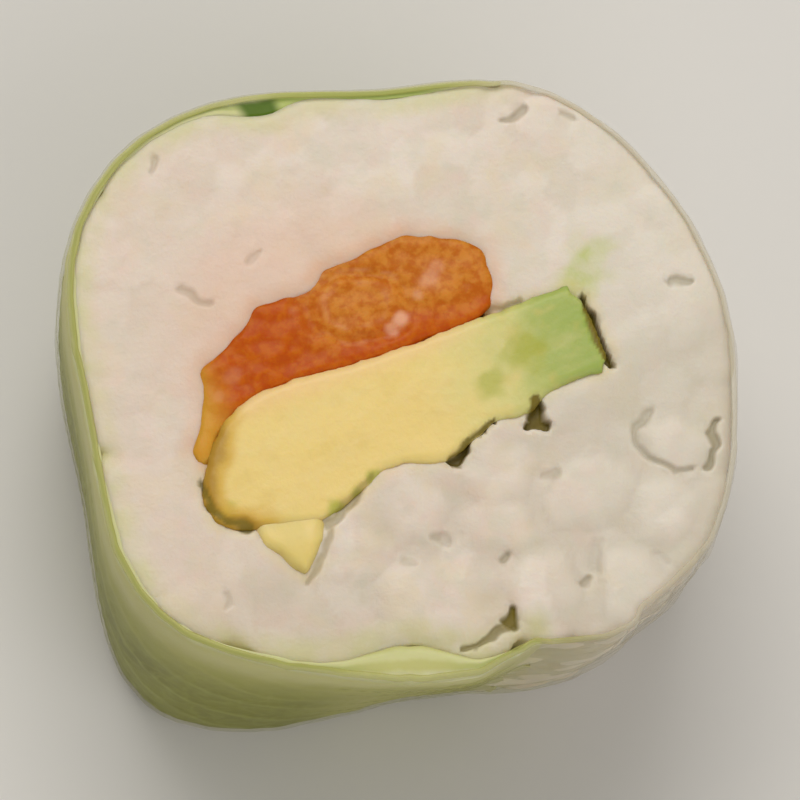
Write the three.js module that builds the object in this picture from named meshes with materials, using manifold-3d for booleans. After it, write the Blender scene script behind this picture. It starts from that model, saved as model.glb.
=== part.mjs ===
// One slice of a rice paper roll, standing on its lower cut face: a rice paper skin wound a little more
// than once round, a lettuce leaf under most of it, pressed rice, and salmon and avocado running through.
// Millimetres, +Z up. The origin is the centre of the slice's bounding box, at the level it stands on.
import * as THREE from "three";
import { mergeVertices } from "three/addons/utils/BufferGeometryUtils.js";
import Module from "manifold-3d";

const wasm = await Module();
wasm.setup();

// The slice. Angles are in degrees, anticlockwise from +X as seen from above.
const HEIGHT = 27; // from cut face to cut face
const HALF_WIDTH = 22.2;
const HALF_DEPTH = 20.7;
const SQUARENESS = 2.7; // exponent of the superellipse that the roll was pressed to
const UNEVENNESS = [
  // waves round the outline: how many, how high, and where one of the crests is
  { waves: 1, height: 0.42, crest: 92 },
  { waves: 2, height: 0.4, crest: -49 },
  { waves: 3, height: 0.29, crest: 19 },
  { waves: 4, height: 0.46, crest: -20 },
  { waves: 5, height: 0.33, crest: -1 },
  { waves: 7, height: 0.2, crest: 16 },
];
const BASE_INSET = 0.5; // the base is this much smaller all round
const UNDERCUT = { angle: -66, halfWidth: 78, depth: 3.0 }; // the front leans in towards the base
const FLARE = { angle: -84, halfWidth: 34, depth: 1.5, share: 0.45 }; // and turns out again near the top
const DENT = { angle: -63, halfWidth: 13, depth: 1.5 }; // the upper edge is drawn in where the leaf ends
const SAG = { angle: -132, halfWidth: 30, depth: 1.3 }; // the front left corner spreads at the base
const BARREL = 0.5; // how far the side swells at half height

// The rice paper.
const PAPER = 0.4;
const PAPER_GAP = 0.2; // between its own layers, and to what it wraps
const PAPER_START = -97; // its inner end, under the outer one
const PAPER_OVERLAP = 52; // degrees that the outer end laps past the inner one
const PAPER_SETTLE = 24; // degrees over which a layer steps down off another
const PAPER_FOOT = 0.4; // its edge stops this far above the base
const RIM_WAVE = { count: 5, height: 0.25 };

// The lettuce leaf.
const LEAF = 0.65;
const LEAF_START = 72; // at the back right
const LEAF_SWEEP = 226; // anticlockwise, to the front right
const LEAF_FADE = 16; // degrees over which it thins at its ends
const LEAF_THIN = 0.55; // share of its thickness that is left there
const LEAF_GAP = 0.25; // to the rice
const LEAF_FOOT = 0.6; // its edge stops this far above the base
const LEAF_DROP = 0.5; // and this far below the top
const LEAF_WAVE = { count: 9, height: 0.25 };
const LEAF_RIB = { angle: -88, halfWidth: 20, depth: 2.1 }; // the leaf's thick midrib, cut across
const LEAF_FOLD = { angle: 117, halfWidth: 9, depth: 1.3 }; // a tuck at the back

// The fillings, in a frame of their own: s runs along the avocado slice and t across it, to the back.
const FILLING_TURN = 21; // degrees
const FILLING_CENTRE = { x: 0.7, y: -1.5 };
const FILLING_LEAN = { x: -0.7, y: 1.2 }; // how far the fillings' lower ends lie from the upper ones
const FILLING_GAP = 0.3;
const FILLING_BEVEL = 0.3;
const AVOCADO = {
  underside: [
    [-8.2, -5.2], [-5.4, -4.3], [-2.6, -3.3], [1.1, -4.2], [4.6, -2.8], [7, -3.1], [9.2, -2.1], [12.8, -2.1],
  ],
  skinEnd: [[13.7, -1.6], [13.5, 2.9], [12.8, 3.8]],
  back: [[8, 3.8], [1, 3.7], [-4, 3.8], [-7.4, 4.2], [-10.4, 3.8]],
  fleshEnd: [
    [-12.4, 2.8], [-13.6, 1.4], [-14.5, 0], [-15.2, -1.6], [-14.8, -3.1], [-13.5, -3.9], [-10.8, -4.6],
  ],
  step: 1.4, // between the points of its outline
};
const SALMON = {
  end: 8.5, // s of its blunt end
  tailTip: 0.6, // t to which its tail hooks down round the avocado's end
  back: [[8.6, 7.4], [7.5, 9.2], [4.1, 11.1], [0.5, 10.8], [-2.8, 10.6], [-4.4, 9.5], [-7, 10], [-9.7, 8]],
  tail: [[-12.3, 7.1], [-12.8, 6], [-12.7, 4.8], [-14, 3], [-15.1, 1.1]],
  step: 1.9,
};
const SLIVER = {
  from: -13.4, // s, along the avocado's underside
  to: -7.2,
  front: [[-12.9, -5.3], [-11.8, -6.5], [-10.7, -8.3], [-10, -7.8], [-8.9, -6.6], [-7.9, -6]],
  step: 1.1,
};
const SALMON_DROP = 0.3; // its cut end, below the avocado's
const SLIVER_DROP = 0.4;
const HOLE_PASS = 1; // how far the cuts for the fillings run past the rice at both ends

// The rice.
const GRAIN = { length: 6.4, width: 2.9, depth: 2.4 };
const GRAIN_SIDES = 5;
const GRAIN_SHOULDER = { out: 0.68, width: 0.8 }; // where its ends start to close, in shares of its half size
const GRAIN_TRIES = 4000;
const GRAIN_TILT = 0.3; // radians, at most, out of the surface that they lie in
const FACE_CLEARANCE = 1.9; // least distance between two grains' middle lines, on the cut faces
const WALL_CLEARANCE = 4.2; // and on the side, where they show less
const CORE_DEPTH = 0.85; // of the core under the cut faces
const CORE_INSET = 0.35; // and under the side
const RICE_DROP = 0.25; // the rice's highest point, below the top
const RANDOM_SEED = 11;

// Facets.
const ANGLE_STEP = 6;
const LEAF_STEP = 4;
const WALL_LEVELS = 4;

const { degToRad, smoothstep, lerp, clamp, euclideanModulo, seededRandom } = THREE.MathUtils;
seededRandom(RANDOM_SEED);

// A smooth hump round an angle, 1 at its middle.
function hump(at, { angle, halfWidth }) {
  const away = Math.abs(euclideanModulo(at - angle + 180, 360) - 180) / halfWidth;
  return away < 1 ? 0.5 + 0.5 * Math.cos(Math.PI * away) : 0;
}

// ---- The form of the roll: distances from its axis, by angle and height z.

function topRadius(angle) {
  const a = degToRad(angle);
  const across = Math.abs(Math.cos(a) / HALF_WIDTH) ** SQUARENESS;
  const along = Math.abs(Math.sin(a) / HALF_DEPTH) ** SQUARENESS;
  const wave = ({ waves, height, crest }) => height * Math.cos(degToRad(waves * (angle - crest)));
  return (across + along) ** (-1 / SQUARENESS) + UNEVENNESS.reduce((sum, each) => sum + wave(each), 0);
}

// The outer face of the skin.
function skinRadius(angle, z) {
  const level = clamp(z / HEIGHT, 0, 1);
  const inset = (BASE_INSET + UNDERCUT.depth * hump(angle, UNDERCUT)) * (1 - level);
  const flare = FLARE.depth * hump(angle, FLARE) * (1 - smoothstep(level, 1 - FLARE.share, 1));
  const dent = DENT.depth * hump(angle, DENT) * level;
  const sag = SAG.depth * hump(angle, SAG) * (1 - level);
  return topRadius(angle) - inset - flare - dent + sag + BARREL * Math.sin(Math.PI * level);
}

// 1 where the skin lies double, 0 where it is single.
function lapped(angle) {
  const past = euclideanModulo(angle - PAPER_START, 360);
  if (past <= PAPER_OVERLAP) return 1;
  const settled = 1 - smoothstep(past, PAPER_OVERLAP, PAPER_OVERLAP + PAPER_SETTLE);
  return Math.max(settled, smoothstep(past, 360 - PAPER_SETTLE, 360));
}

// The outer face of what the skin wraps.
function bedRadius(angle, z) {
  return skinRadius(angle, z) - (PAPER + PAPER_GAP) * (1 + lapped(angle));
}

function leafThickness(angle) {
  const past = euclideanModulo(angle - LEAF_START, 360);
  const full = smoothstep(past, 0, LEAF_FADE) * (1 - smoothstep(past, LEAF_SWEEP - LEAF_FADE, LEAF_SWEEP));
  const blade = LEAF * lerp(LEAF_THIN, 1, full);
  return blade + LEAF_RIB.depth * hump(angle, LEAF_RIB) + LEAF_FOLD.depth * hump(angle, LEAF_FOLD);
}

// The outer face of the rice: it keeps clear of the leaf, and swells out beyond the leaf's ends.
function riceRadius(angle, z) {
  const past = euclideanModulo(angle - LEAF_START, 360);
  const after = 1 - smoothstep(past, LEAF_SWEEP, LEAF_SWEEP + LEAF_FADE);
  const before = smoothstep(past, 360 - LEAF_FADE, 360);
  const beside = past > LEAF_SWEEP ? Math.max(before, after) : 1;
  return bedRadius(angle, z) - beside * (leafThickness(angle) + LEAF_GAP);
}

function onRoll(angle, radius, z) {
  return new THREE.Vector3(radius * Math.cos(degToRad(angle)), radius * Math.sin(degToRad(angle)), z);
}

// ---- Building closed meshes.

function geometryOf(points, triangles) {
  const geometry = new THREE.BufferGeometry().setFromPoints(points);
  return geometry.setIndex(triangles.flat());
}

// Skins sections that run anticlockwise seen from above, lowest first, and closes both ends.
function loft(sections) {
  const count = sections[0].length;
  const triangles = [];
  for (let below = 0; below < (sections.length - 1) * count; below += count) {
    for (let i = 0; i < count; i++) {
      const a = below + i;
      const b = below + ((i + 1) % count);
      triangles.push([a, b, b + count], [a, b + count, a + count]);
    }
  }
  const top = (sections.length - 1) * count;
  for (const [a, b, c] of THREE.ShapeUtils.triangulateShape(sections[0], [])) triangles.push([a, c, b]);
  for (const face of THREE.ShapeUtils.triangulateShape(sections.at(-1), [])) {
    triangles.push(face.map((i) => i + top));
  }
  return geometryOf(sections.flat(), triangles);
}

// A sheet with two faces, split into triangles alike, and a rim. Each face gives a point for a column
// and a row, both from 0 to 1: columns run anticlockwise, and rows run up.
function sheet(outer, inner, columns, rows) {
  const points = [];
  for (const face of [outer, inner]) {
    for (let c = 0; c <= columns; c++) {
      for (let r = 0; r <= rows; r++) points.push(face(c / columns, r / rows));
    }
  }
  const out = (c, r) => c * (rows + 1) + r;
  const inn = (c, r) => out(c, r) + (columns + 1) * (rows + 1);
  const triangles = [];
  const quad = (a, b, c, d) => triangles.push([a, b, c], [a, c, d]);
  for (let c = 0; c < columns; c++) {
    for (let r = 0; r < rows; r++) {
      quad(out(c, r), out(c + 1, r), out(c + 1, r + 1), out(c, r + 1));
      quad(inn(c + 1, r + 1), inn(c + 1, r), inn(c, r), inn(c, r + 1));
    }
    quad(out(c, rows), out(c + 1, rows), inn(c + 1, rows), inn(c, rows));
    quad(out(c + 1, 0), out(c, 0), inn(c, 0), inn(c + 1, 0));
  }
  for (let r = 0; r < rows; r++) {
    quad(out(columns, r), inn(columns, r), inn(columns, r + 1), out(columns, r + 1));
    quad(inn(0, r), out(0, r), out(0, r + 1), inn(0, r + 1));
  }
  return geometryOf(points, triangles);
}

function solidOf(geometry) {
  const bare = geometry.clone();
  bare.deleteAttribute("normal");
  bare.deleteAttribute("uv");
  const merged = mergeVertices(bare);
  const vertProperties = new Float32Array(merged.attributes.position.array);
  const triVerts = new Uint32Array(merged.index.array);
  return new wasm.Manifold(new wasm.Mesh({ numProp: 3, vertProperties, triVerts }));
}

function geometryOfSolid(solid) {
  const mesh = solid.getMesh();
  const geometry = new THREE.BufferGeometry();
  geometry.setAttribute("position", new THREE.BufferAttribute(mesh.vertProperties, mesh.numProp));
  return geometry.setIndex(new THREE.BufferAttribute(mesh.triVerts, 1));
}

// ---- The wrappings.

function ricePaper() {
  const sweep = 360 + PAPER_OVERLAP;
  const face = (depth) => (column, row) => {
    const past = column * sweep;
    const angle = PAPER_START + past;
    const under = 1 - smoothstep(past, PAPER_OVERLAP, PAPER_OVERLAP + PAPER_SETTLE);
    const wave = RIM_WAVE.height * Math.sin(degToRad(RIM_WAVE.count * past));
    const z = lerp(PAPER_FOOT, HEIGHT - RIM_WAVE.height + wave, row);
    return onRoll(angle, skinRadius(angle, z) - under * (PAPER + PAPER_GAP) - depth, z);
  };
  return sheet(face(0), face(PAPER), Math.round(sweep / ANGLE_STEP), WALL_LEVELS);
}

function lettuceLeaf() {
  const face = (share) => (column, row) => {
    const angle = LEAF_START + column * LEAF_SWEEP;
    const wave = LEAF_WAVE.height * Math.sin(degToRad(LEAF_WAVE.count * angle));
    const z = lerp(LEAF_FOOT, HEIGHT - LEAF_DROP - LEAF_WAVE.height + wave, row);
    return onRoll(angle, bedRadius(angle, z) - share * leafThickness(angle), z);
  };
  return sheet(face(0), face(1), Math.round(LEAF_SWEEP / LEAF_STEP), WALL_LEVELS);
}

// ---- The fillings.

const vectors = (pairs) => pairs.map(([s, t]) => new THREE.Vector2(s, t));

function spaced(shape, step) {
  return shape.getSpacedPoints(Math.round(shape.getLength() / step)).slice(0, -1);
}

// Moves each point of an outline out by a distance, along the outline's own normal.
function grown(outline, distance) {
  return outline.map((point, i) => {
    const along = outline[(i + 1) % outline.length].clone().sub(outline.at(i - 1)).normalize();
    return new THREE.Vector2(point.x + along.y * distance, point.y - along.x * distance);
  });
}

function avocadoOutline() {
  const shape = new THREE.Shape();
  shape.moveTo(...AVOCADO.underside.at(-1));
  shape.splineThru(vectors(AVOCADO.skinEnd));
  shape.splineThru(vectors(AVOCADO.back));
  shape.splineThru(vectors([...AVOCADO.fleshEnd, AVOCADO.underside[0]]));
  shape.splineThru(vectors(AVOCADO.underside.slice(1)));
  return spaced(shape, AVOCADO.step);
}

// The stretch of the avocado's outline that another filling lies on, a gap away and run clockwise.
function bedOnAvocado(lies) {
  return grown(avocadoOutline(), FILLING_GAP).filter(lies).reverse();
}

function salmonOutline() {
  const shape = new THREE.Shape(bedOnAvocado(({ x, y }) => x < SALMON.end && y > SALMON.tailTip));
  shape.splineThru(vectors([...SALMON.back, ...SALMON.tail]));
  shape.closePath();
  return spaced(shape, SALMON.step);
}

function sliverOutline() {
  const shape = new THREE.Shape(bedOnAvocado(({ x, y }) => x > SLIVER.from && x < SLIVER.to && y < 0));
  shape.splineThru(vectors(SLIVER.front));
  shape.closePath();
  return spaced(shape, SLIVER.step);
}

// Runs an outline of the fillings' frame through the roll, as far as the given height.
function throughRoll(outline, low, high, bevel) {
  const section = (z, inset) => {
    const down = 1 - z / HEIGHT;
    return grown(outline, -inset).map((point) => {
      const { x, y } = point.rotateAround(new THREE.Vector2(), degToRad(FILLING_TURN));
      return new THREE.Vector3(
        x + FILLING_CENTRE.x + down * FILLING_LEAN.x,
        y + FILLING_CENTRE.y + down * FILLING_LEAN.y,
        z,
      );
    });
  };
  return loft([section(low, bevel), section(low + bevel, 0), section(high - bevel, 0), section(high, bevel)]);
}

const fillings = [
  { name: "avocado_slice", outline: avocadoOutline(), top: HEIGHT, color: 0xe2cb86 },
  { name: "salmon", outline: salmonOutline(), top: HEIGHT - SALMON_DROP, color: 0xc9702a },
  { name: "avocado_sliver", outline: sliverOutline(), top: HEIGHT - SLIVER_DROP, color: 0xdfc873 },
];

// ---- The rice.

const RICE_TOP = HEIGHT - RICE_DROP;

// A grain lying in the plane of the normal, turned at random, with points along its middle line.
function randomGrain(point, normal) {
  const turn = new THREE.Quaternion().setFromUnitVectors(new THREE.Vector3(0, 0, 1), normal);
  const tilt = (seededRandom() - 0.5) * GRAIN_TILT;
  const own = new THREE.Euler(0, tilt, seededRandom() * Math.PI, "ZYX");
  turn.multiply(new THREE.Quaternion().setFromEuler(own));
  const along = new THREE.Vector3((GRAIN.length - GRAIN.width) / 2, 0, 0).applyQuaternion(turn);
  return { point, turn, line: [-1, 0, 1].map((share) => point.clone().addScaledVector(along, share)) };
}

function grainSolid({ point, turn }) {
  const { out, width } = GRAIN_SHOULDER;
  const profile = [[0, -1], [width, -out], [1, 0], [width, out], [0, 1]];
  const shape = new THREE.LatheGeometry(vectors(profile), GRAIN_SIDES);
  shape.rotateZ(-Math.PI / 2).scale(GRAIN.length / 2, GRAIN.depth / 2, GRAIN.width / 2);
  shape.rotateX(Math.PI / 2).applyQuaternion(turn).translate(point.x, point.y, point.z);
  return solidOf(shape);
}

// Lays grains one after another at random places, and keeps each that is clear of the ones before it and
// of the fillings' holes.
function scatter(clearance, holes, randomPlace) {
  const laid = [];
  for (let i = 0; i < GRAIN_TRIES; i++) {
    const { point, normal } = randomPlace();
    const tried = randomGrain(point, normal);
    const near = (a, b) => a.distanceTo(b) < clearance;
    if (laid.some(({ line }) => line.some((a) => tried.line.some((b) => near(a, b))))) continue;
    const solid = grainSolid(tried);
    if (solid.intersect(holes).isEmpty()) laid.push({ line: tried.line, solid });
  }
  return laid.map(({ solid }) => solid);
}

// Grains over a cut face, facing up (1) or down (-1).
function faceGrains(facing, holes) {
  const normal = new THREE.Vector3(0, 0, facing);
  const z = facing > 0 ? RICE_TOP - CORE_DEPTH : CORE_DEPTH;
  return scatter(FACE_CLEARANCE, holes, () => {
    const angle = seededRandom() * 360;
    const radius = Math.sqrt(seededRandom()) * (riceRadius(angle, z) - CORE_INSET);
    return { point: onRoll(angle, radius, z), normal };
  });
}

// Grains on the side, where no leaf hides them.
function wallGrains(holes) {
  return scatter(WALL_CLEARANCE, holes, () => {
    const angle = LEAF_START - seededRandom() * (360 - LEAF_SWEEP);
    const z = lerp(GRAIN.width, RICE_TOP - GRAIN.width, seededRandom());
    return { point: onRoll(angle, riceRadius(angle, z) - GRAIN.depth / 2, z), normal: onRoll(angle, 1, 0) };
  });
}

function ring(inset, z) {
  const angles = [...Array(360 / ANGLE_STEP).keys()].map((i) => i * ANGLE_STEP);
  return angles.map((angle) => onRoll(angle, riceRadius(angle, z) - inset, z));
}

// A solid that follows the rice's outer face at an inset, with small shoulders at both ends.
function riceBody(low, high, inset) {
  const level = (i) => lerp(low + CORE_INSET, high - CORE_INSET, i / (WALL_LEVELS - 1));
  const sides = [...Array(WALL_LEVELS).keys()].map((i) => ring(inset, level(i)));
  return solidOf(loft([ring(inset + CORE_INSET, low), ...sides, ring(inset + CORE_INSET, high)]));
}

function rice() {
  const holes = wasm.Manifold.union(
    fillings.map(({ outline }) => {
      return solidOf(throughRoll(grown(outline, FILLING_GAP), -HOLE_PASS, HEIGHT + HOLE_PASS, 0));
    }),
  );
  const core = riceBody(CORE_DEPTH, RICE_TOP - CORE_DEPTH, CORE_INSET).subtract(holes);
  const grains = [...faceGrains(1, holes), ...faceGrains(-1, holes), ...wallGrains(holes)];
  const heap = wasm.Manifold.union([core, ...grains]).intersect(riceBody(0, RICE_TOP, 0));
  return geometryOfSolid(heap);
}

// ---- The slice.

const slice = new THREE.Group();

function add(name, geometry, material) {
  const mesh = new THREE.Mesh(geometry, new THREE.MeshStandardMaterial({ metalness: 0, ...material }));
  mesh.name = name;
  slice.add(mesh);
}

add("rice_paper", ricePaper(), { color: 0xdcdcc4, roughness: 0.3, transparent: true, opacity: 0.4 });
add("lettuce_leaf", lettuceLeaf(), { color: 0x9cb344, roughness: 0.5 });
add("rice", rice(), { color: 0xe4d6c4, roughness: 0.55 });
for (const { name, outline, top, color } of fillings) {
  add(name, throughRoll(outline, 0, top, FILLING_BEVEL), { color, roughness: 0.4 });
}

const box = new THREE.Box3().setFromObject(slice);
const centre = box.getCenter(new THREE.Vector3());
slice.position.set(-centre.x, -centre.y, -box.min.z);

export default slice;
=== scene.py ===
# The looks of one slice of a rice paper roll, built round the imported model.
# Sizes are in millimetres and angles in degrees, anticlockwise from +X as seen from above, unless a name
# says otherwise. Meshes are in metres.
from math import atan2, cos, degrees, exp, hypot, inf, log1p, pi, radians, sin, sqrt

import bmesh
import bpy
import numpy as np
from mathutils import Euler, Matrix, Vector
from mathutils.bvhtree import BVHTree
from mathutils.kdtree import KDTree
from mathutils.noise import noise


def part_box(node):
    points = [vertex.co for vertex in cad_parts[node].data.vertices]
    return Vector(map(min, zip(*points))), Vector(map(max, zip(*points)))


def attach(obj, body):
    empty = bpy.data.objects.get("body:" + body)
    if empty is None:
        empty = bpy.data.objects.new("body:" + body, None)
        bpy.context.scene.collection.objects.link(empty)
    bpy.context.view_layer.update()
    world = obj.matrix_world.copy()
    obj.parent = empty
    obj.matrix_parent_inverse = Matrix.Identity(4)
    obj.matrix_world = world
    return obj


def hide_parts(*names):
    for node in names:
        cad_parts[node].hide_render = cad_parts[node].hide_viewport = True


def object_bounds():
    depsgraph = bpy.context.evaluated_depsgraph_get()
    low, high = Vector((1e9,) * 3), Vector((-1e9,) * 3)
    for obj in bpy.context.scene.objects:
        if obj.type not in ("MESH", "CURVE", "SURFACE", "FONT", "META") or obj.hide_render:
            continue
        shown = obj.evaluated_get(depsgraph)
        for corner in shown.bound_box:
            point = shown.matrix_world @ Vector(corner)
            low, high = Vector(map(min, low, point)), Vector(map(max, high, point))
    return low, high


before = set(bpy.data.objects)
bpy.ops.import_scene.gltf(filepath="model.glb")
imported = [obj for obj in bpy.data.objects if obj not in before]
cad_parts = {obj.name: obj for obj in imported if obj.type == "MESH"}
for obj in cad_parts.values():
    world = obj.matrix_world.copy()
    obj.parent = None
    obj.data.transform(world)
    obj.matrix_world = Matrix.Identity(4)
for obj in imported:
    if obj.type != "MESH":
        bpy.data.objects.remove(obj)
cad_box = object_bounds()

MM = 0.001
HEIGHT = cad_box[1].z / MM
MID_HEIGHT = HEIGHT / 2
MEAN_RADIUS = 21.0
RANDOM_SEED = 5
AMPLE = 30

# The wrappings.
PAPER_END = -45  # the outer end of the rice paper, where it puckers
LEAF_RIB = -88  # the midrib, which runs up the roll
LEAF_FOLD = 117  # the tuck at the back
LEAF_ENDS = (72, 298)
RAGGED_END = {"most": 5.0, "size": 4.5, "reach": 16, "fade": (0.5, 7.0)}  # how a leaf end draws back
LEAF_LEVELS = 3  # of subdivision
RIM_CREASE = 0.8
RIM_ANGLE = radians(50)
VEIN = {"height": 0.1, "width": 0.9, "spacing": 5.2, "slope": 0.75, "reach": 62, "wobble": 1.4}
RUFFLE = {"height": 0.1, "turns": 2.2, "size": 9.0, "seed": 0.0}  # of the leaf
CRINKLE = {"height": 0.05, "turns": 7.0, "size": 8.0, "seed": 0.0}  # of the paper
RIM_WAVE = {"height": 0.1, "turns": 3.0, "size": 7.0, "seed": 5.0}
PUCKER = {"height": 0.16, "folds": 9, "reach": 20, "below_top": 1.5}
TUCK = {"height": 1.9, "leaf": 0.85, "bare": 0.4}  # how far the cut edges curl in, with the leaf or bare
PAPER_THICKNESS = 0.4
PAPER_COLUMNS = 720
PAPER_ROWS = 40
PAPER_TURNS = 6  # steps over its rounded rims
PAPER_RIM = 26.9
LEAF_RIM = 26.8
RIM_WAVINESS = 0.35  # share of the leaf's own waves that is left
RIM_REACH = 5.0
SHEET_OVERLAP = 0.2  # how far the leaf reaches into the paper
RICE_OVERLAP = {"leaf": 0.45, "paper": 0.3}  # and the rice into what wraps it

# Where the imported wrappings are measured.
FAR = 40.0
WRAP_COLUMNS = 720
WRAP_ROWS = 25
WRAP_MARGIN = 1.5  # off their upper and lower rims
WRAP_BLUR = 5  # columns, which take the facets off
WRAP_HEIGHTS = np.linspace(WRAP_MARGIN, HEIGHT - WRAP_MARGIN, WRAP_ROWS)
WRAP_ANGLES = np.arange(WRAP_COLUMNS) * 360 / WRAP_COLUMNS

# The fillings, in a frame of their own: s runs along the avocado slice and t across it, to the back.
FILLING_TURN = 21
FILLING_CENTRE = (0.77, -1.85)  # at the top
FILLING_LEAN = (-0.7, 1.2)  # how far the fillings' lower ends lie from the upper ones
# Spots: s and t, radius, and how strong.
AVOCADO_SPOTS = [
    ((8.5, 0.9), 1.4, 0.75),
    ((5.5, -0.5), 1.1, 0.65),
    ((-14.4, -3.2), 1.0, 0.8),
    ((-7.3, -5.1), 0.7, 0.8),
    ((-5.6, -4.5), 0.5, 0.8),
    ((-4.2, -3.8), 0.5, 0.7),
    ((-11.1, -6.6), 2.2, 0.15),
]
GOLDEN_REACH = 1.9
SALMON_FLAKE = {"centre": (-0.9, 7.6), "half": (3.7, 2.3), "turn": -18, "groove": 0.22}
# Pale spots on the salmon, laid out as the spots above: fat, and those in the middle of its back part also
# painted highlights.
SALMON_FAT_AND_HIGHLIGHTS = [
    ((1.5, 5.7), 0.6, 0.8),
    ((0.7, 5.3), 0.45, 0.6),
    ((4.2, 7.7), 0.7, 0.45),
    ((5.0, 8.3), 0.5, 0.3),
    ((3.1, 6.9), 0.35, 0.4),
    ((-10.6, 5.9), 0.6, 0.2),
    ((-11.8, 5.0), 0.4, 0.25),
]
FILLING_VOXEL = 0.18
FILLING_GAP = 0.12  # how deep the gaps reach into their edges
TAIL_SWELL = 0.12  # of the salmon's thin end
FILLING_SWELL = 0.17  # closes the gaps between the solids
CUT_SWELL = 0.12  # and squares their cut edges
SLIVER_RISE = 0.43
SLIVER_JOIN = {"shift": 1.3, "reach": 1.6, "drop": 0.26}  # draws the sliver over the avocado's edge
END_GAP = 0.5  # by which the avocado's green end is cut back from the gap beside it

# The rice. Grains lie in two layers under each cut face and behind the bare side.
GRAIN = (6.4, 2.9, 2.5)
GRAIN_SIDES = 14
GRAIN_RINGS = 12
GRAIN_BLUNTNESS = 2.5
GRAIN_TILT = 0.28
GRAIN_SIZES = (0.86, 1.08)
GRAIN_TRIES = 3500
GRAIN_ROOM = 0.5  # least distance of a grain's middle line from the fillings
FACE_MARGIN = 0.8  # between the middles of the grains under a cut face and what wraps the rice
SIDE_MARGIN = 2.0  # and between those of the bare side and the cut faces
# In each layer, how deep the grains' middle lines lie, how much that varies, and their least distance.
FACE_LAYERS = [(0.45, 0.35, 1.7), (1.2, 0.2, 1.6)]
SIDE_LAYERS = [(1.0, 0.2, 1.7), (1.6, 0.2, 1.5)]
BARE_SIDE = (-64, 72)  # where no leaf covers the rice
RICE_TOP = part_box("rice")[1].z / MM
TOP_FADE = (2.0, 1.0)  # how far under the upper cut face its own relief and colours end, and are whole
CUT_SOFTNESS = 0.12
CUT_UNEVENNESS = (0.02, 0.06)  # where the knife smeared the rice flat, and where it is lumpy
CORE_DEPTH = (0.06, 0.12)  # the same two
FILLING_OVERLAP = 0.6  # how far the rice reaches into the fillings
CORE_EDGE = {"reach": 3.0, "packed": 0.9}  # how far in the core is stretched, and its depth as packed
CORE_INSET = 1.1  # how far the core stays behind the grains of the bare side
SIDE_FADE = (0.5, 3.0)  # how far from the cut faces the bare side starts, and is whole
SIDE_SOFTNESS = 0.2
SIDE_UNEVENNESS = 0.45  # of the grains that lie against the skin
CORE_SWELL = 0.9  # brings the core up to what is round it
LUMPY_EDGE = ((-7.0, -12.0), (13.0, 0.5))  # a line that the lumpy part lies to the right of
LUMPY_FADE = (-1.0, 3.0)  # how far past it the lumps start, and are whole
CORE_VOXEL = 0.5
RICE_VOXEL = 0.335
RICE_SMOOTHING = 3
CRACK_CUTS = 2  # made in each edge of the mesh by a gap
CRACK_WANDER = 0.35
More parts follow.
